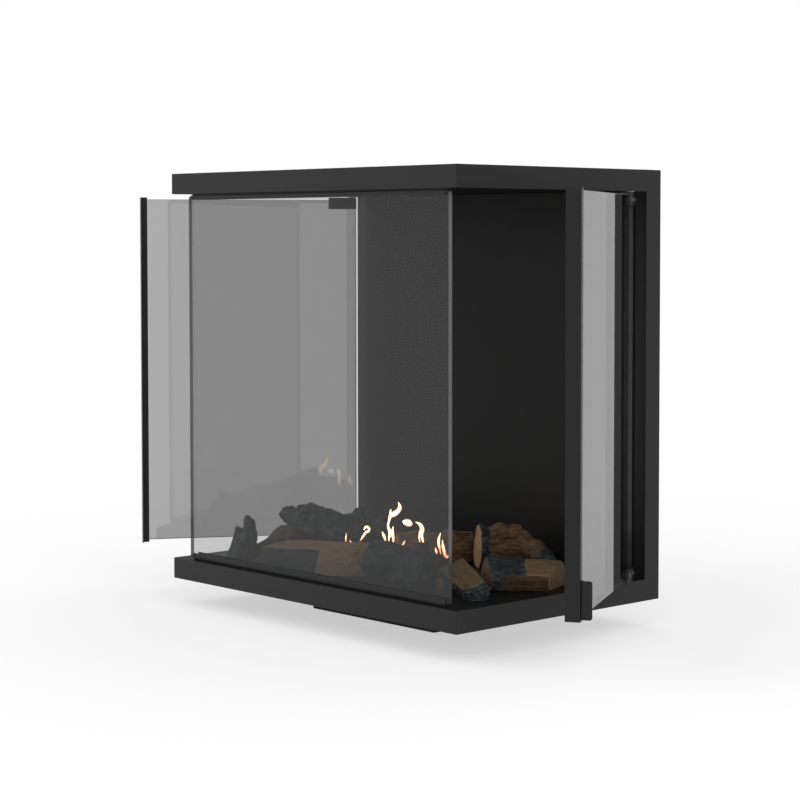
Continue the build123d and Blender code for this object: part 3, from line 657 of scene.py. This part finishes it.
def back_short_log():
    ends = ((88, 88, 31), (146, 158, 31))
    pieces = [
        solid_log("back_short_log"),
        burl(98, 100, 50, 33),
        burl(121, 127, 56, 30),
        burl(138, 148, 54, 31),
        limb((78, 76, 33), (148, 160, 34), 39, 38),
    ]
    cuts = [
        ((91, 92, 0), (-0.55, -0.83, 0.05), split_finish("short_end", ends, TAN)),
        ((146, 158, 0), (0.636, 0.772, 0), split_finish("short_far_end", ends, TAN)),
    ]
    bark = bark_finish("back_short_bark", ends, BROWN_BARK, (BEFORE, 0.028))
    dress_log("back_short_log", "brown_log", ends, bark, pieces, cuts, lump=7, ridge=8)


def leaning_log():
    ends = ((146, 150, 64), (256, 138, 12))
    pieces = [
        limb((150, 152, 58), (264, 137, 8), 20, 17),
        burl(194, 147, 40, 22),
        burl(226, 143, 24, 20),
    ]
    bark = bark_finish("leaning_bark", ends, BROWN_BARK, (0.08, 3))
    dress_log("leaning_log", "brown_log", ends, bark, pieces, lump=5, ridge=5)


stump_log()
left_brown_log()
back_charred_log()
front_split_log()
front_charred_log()
diagonal_charred_log()
front_right_log()
right_split_log()
back_brown_log()
back_short_log()
leaning_log()


# Flames
def flame_finish(name, color, strength, cover):
    """Glowing gas, redder near the burner; cover is the share that it hides of what is behind."""
    glow = Finish(name, (0, 0, 0), 1.0, Specular_IOR_Level=0.0)
    rise = glow.span(glow.part_of(glow.place, "Z"), 0, 1, FLOOR + 0.03, FLOOR + 0.075)
    flicker = glow.math("ADD", rise, glow.span(glow.noise(110, 2), -1.0, 1.2))
    foot = tuple(c * share for c, share in zip(color, (0.42, 0.16, 0.07)))
    color = glow.mix(glow.span(flicker, 0, 1), foot, color)
    glow.link(color, glow.shader.inputs["Emission Color"])
    glow.set(glow.shader, "Emission Strength", strength)
    glow.link(glow.span(flicker, cover * 0.7, cover), glow.shader.inputs["Alpha"])
    return glow.material


# Y in millimetres of the line of flames at the middle of the fire, and its slope
FLAME_LINE = (-15, 0.3)


def tongue(name, points, share, finish):
    """Tapered tube along points of (X, height over the floor plate, half width) in millimetres.

    It stands over the burner plate, and share widens or narrows all of it."""
    bpy.ops.object.select_all(action="DESELECT")
    bpy.ops.curve.primitive_bezier_curve_add(location=(0, 0, 0))
    flame = bpy.context.object
    flame.name = name
    path = flame.data
    path.name = name
    path.bevel_depth = 0.001
    path.bevel_resolution = 4
    path.resolution_u = 10
    path.use_fill_caps = True
    knots = path.splines[0].bezier_points
    knots.add(len(points) - len(knots))
    for knot, (x, height, half) in zip(knots, points):
        knot.co = spot(x, FLAME_LINE[0] + FLAME_LINE[1] * x, height)
        knot.handle_left_type = knot.handle_right_type = "AUTO"
        knot.radius = half * share
    bpy.ops.object.convert(target="MESH")
    flame = bpy.context.object
    flame.data.materials.clear()
    flame.data.materials.append(finish)
    bpy.ops.object.mode_set(mode="EDIT")
    bpy.ops.mesh.select_all(action="SELECT")
    bpy.ops.mesh.remove_doubles(threshold=0.00002)
    bpy.ops.mesh.normals_make_consistent(inside=False)
    bpy.ops.object.mode_set(mode="OBJECT")
    bpy.ops.object.shade_smooth()
    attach(flame, "root")


FLAMES = {
    "left_wisp": [(-125, 34, 0.4), (-126, 45, 1.6), (-125, 58, 0.4)],
    "left_hook": [(-113, 33, 0.4), (-114, 39, 1.5), (-118, 45, 0.4)],
    "curl": [
        (-95, 44, 0.4),
        (-88, 54, 2.0),
        (-81, 63, 2.2),
        (-75, 66, 1.8),
        (-76, 72, 2.2),
        (-82, 73, 2.0),
        (-86, 67, 0.8),
    ],
    "short": [(-38, 45, 0.4), (-40, 53, 2.2), (-43, 60, 2.6), (-46, 67, 0.4)],
    "tall": [
        (-32, 45, 0.4),
        (-31, 56, 1.8),
        (-29, 67, 3.2),
        (-33, 78, 2.0),
        (-31, 89, 1.8),
        (-27, 99, 3.6),
        (-20, 103, 4.6),
        (-13, 108, 4.2),
        (-8, 116, 3.4),
        (-11, 127, 0.4),
    ],
    "tall_shoulder": [(-27, 98, 2.6), (-28, 105, 2.0), (-27, 112, 0.4)],
    "tall_prong": [(-22, 43, 0.4), (-22, 55, 2.4), (-24, 66, 3.2), (-22, 79, 0.4)],
    "drifting_lick": [(-2, 90, 0.6), (3, 89, 4.6), (10, 88, 6.0), (15, 86, 4.6), (19, 85, 0.6)],
    "spark": [(-4, 41, 0.3), (0, 47, 1.7), (4, 54, 0.3)],
    "flag": [(44, 38, 0.3), (42, 54, 1.6), (39, 68, 2.8), (40, 78, 3.8), (36, 86, 3.0), (26, 91, 0.4)],
    "flag_foot": [(36, 50, 0.3), (34, 62, 1.4), (36, 74, 2.0)],
    "dot": [(72, 32, 0.5), (70, 38, 2.4), (68, 45, 0.4)],
    "slender": [(80, 32, 0.4), (77, 44, 2.0), (75, 58, 2.6), (79, 74, 0.4)],
    "hook": [(83, 61, 0.4), (84, 50, 2.4), (87, 38, 3.0), (92, 29, 2.8), (97, 32, 0.6)],
}
flame_core = flame_finish("flame_core", (1.0, 0.86, 0.62), 6.0, 1.0)
flame_edge = flame_finish("flame_edge", (1.0, 0.42, 0.12), 1.8, 0.45)
for name, points in FLAMES.items():
    tongue(f"flame_{name}", points, 0.88, flame_core)
    tongue(f"flame_{name}_edge", points, 1.3, flame_edge)


# Stage
def pale_floor(near, far):
    """Pale floor that keeps a shadow near the fire and turns to plain white far from it."""
    pale = Finish("pale_floor", (0.94, 0.94, 0.94), 0.95, Specular_IOR_Level=0.1)
    pale.color_from(pale.mix(pale.noise(2, 2), (0.93, 0.93, 0.93), (0.95, 0.95, 0.95)))
    away = pale.node("ShaderNodeVectorMath", operation="LENGTH")
    pale.link(pale.place, away.inputs[0])
    white_share = pale.span(away.outputs["Value"], 0.55, 1, near, far)
    rays = pale.node("ShaderNodeLightPath")
    seen = pale.math("MAXIMUM", rays.outputs["Is Camera Ray"], rays.outputs["Is Glossy Ray"])
    white = pale.node("ShaderNodeEmission", Strength=1.0)
    share = pale.math("MULTIPLY", white_share, seen)
    pale.surface_from(pale.shader_mix(share, pale.shader.outputs[0], white.outputs[0]))
    return pale.material


bpy.ops.object.select_all(action="DESELECT")
bpy.ops.mesh.primitive_plane_add(size=14, location=(0, 0, -0.0005))
floor = bpy.context.object
floor.name = "studio_floor"
floor.data.materials.append(pale_floor(0.7, 2.6))


def soft_lamp(name, place, size, power):
    """Round soft lamp turned to the middle of the fire."""
    middle = Vector((0, 0, 0.4))
    bpy.ops.object.light_add(type="AREA", location=place)
    lamp = bpy.context.object
    lamp.name = name
    lamp.data.shape = "DISK"
    lamp.data.size = size
    lamp.data.energy = power
    lamp.rotation_mode = "QUATERNION"
    lamp.rotation_quaternion = (Vector(place) - middle).to_track_quat("Z", "Y")


soft_lamp("key_softbox", (-2.2, -3.0, 3.0), 2.5, 36)
soft_lamp("side_softbox", (3.4, -0.6, 2.2), 2.0, 24)


def white_room(lighting, seen_white):
    """White world: one strength for its light and one for what the camera and the glass see."""
    world = bpy.data.worlds.new("studio")
    bpy.context.scene.world = world
    world.use_nodes = True
    sky = world.node_tree
    background = sky.nodes["Background"]
    background.inputs["Color"].default_value = (1, 1, 1, 1)
    rays = sky.nodes.new("ShaderNodeLightPath")
    seen = sky.nodes.new("ShaderNodeMath")
    seen.operation = "MAXIMUM"
    sky.links.new(rays.outputs["Is Camera Ray"], seen.inputs[0])
    sky.links.new(rays.outputs["Is Glossy Ray"], seen.inputs[1])
    strength = sky.nodes.new("ShaderNodeMapRange")
    strength.inputs["To Min"].default_value = lighting
    strength.inputs["To Max"].default_value = seen_white
    sky.links.new(seen.outputs[0], strength.inputs["Value"])
    sky.links.new(strength.outputs["Result"], background.inputs["Strength"])


white_room(0.9, 1.0)

camera_place = (2.95165, -2.68033, 0.73133)
camera_tilt, camera_turn = math.radians(2.787), math.radians(46.9705)
camera_data = bpy.data.cameras.new("photo_camera")
camera = bpy.data.objects.new("photo_camera", camera_data)
bpy.context.collection.objects.link(camera)
camera.location = camera_place
camera.rotation_euler = (math.pi / 2 - camera_tilt, 0, camera_turn)
camera_data.sensor_width = 36
camera_data.lens = 93.5895
camera_data.shift_x = -0.047
camera_data.shift_y = -0.08
bpy.context.scene.camera = camera
bpy.context.scene.view_settings.view_transform = "Standard"
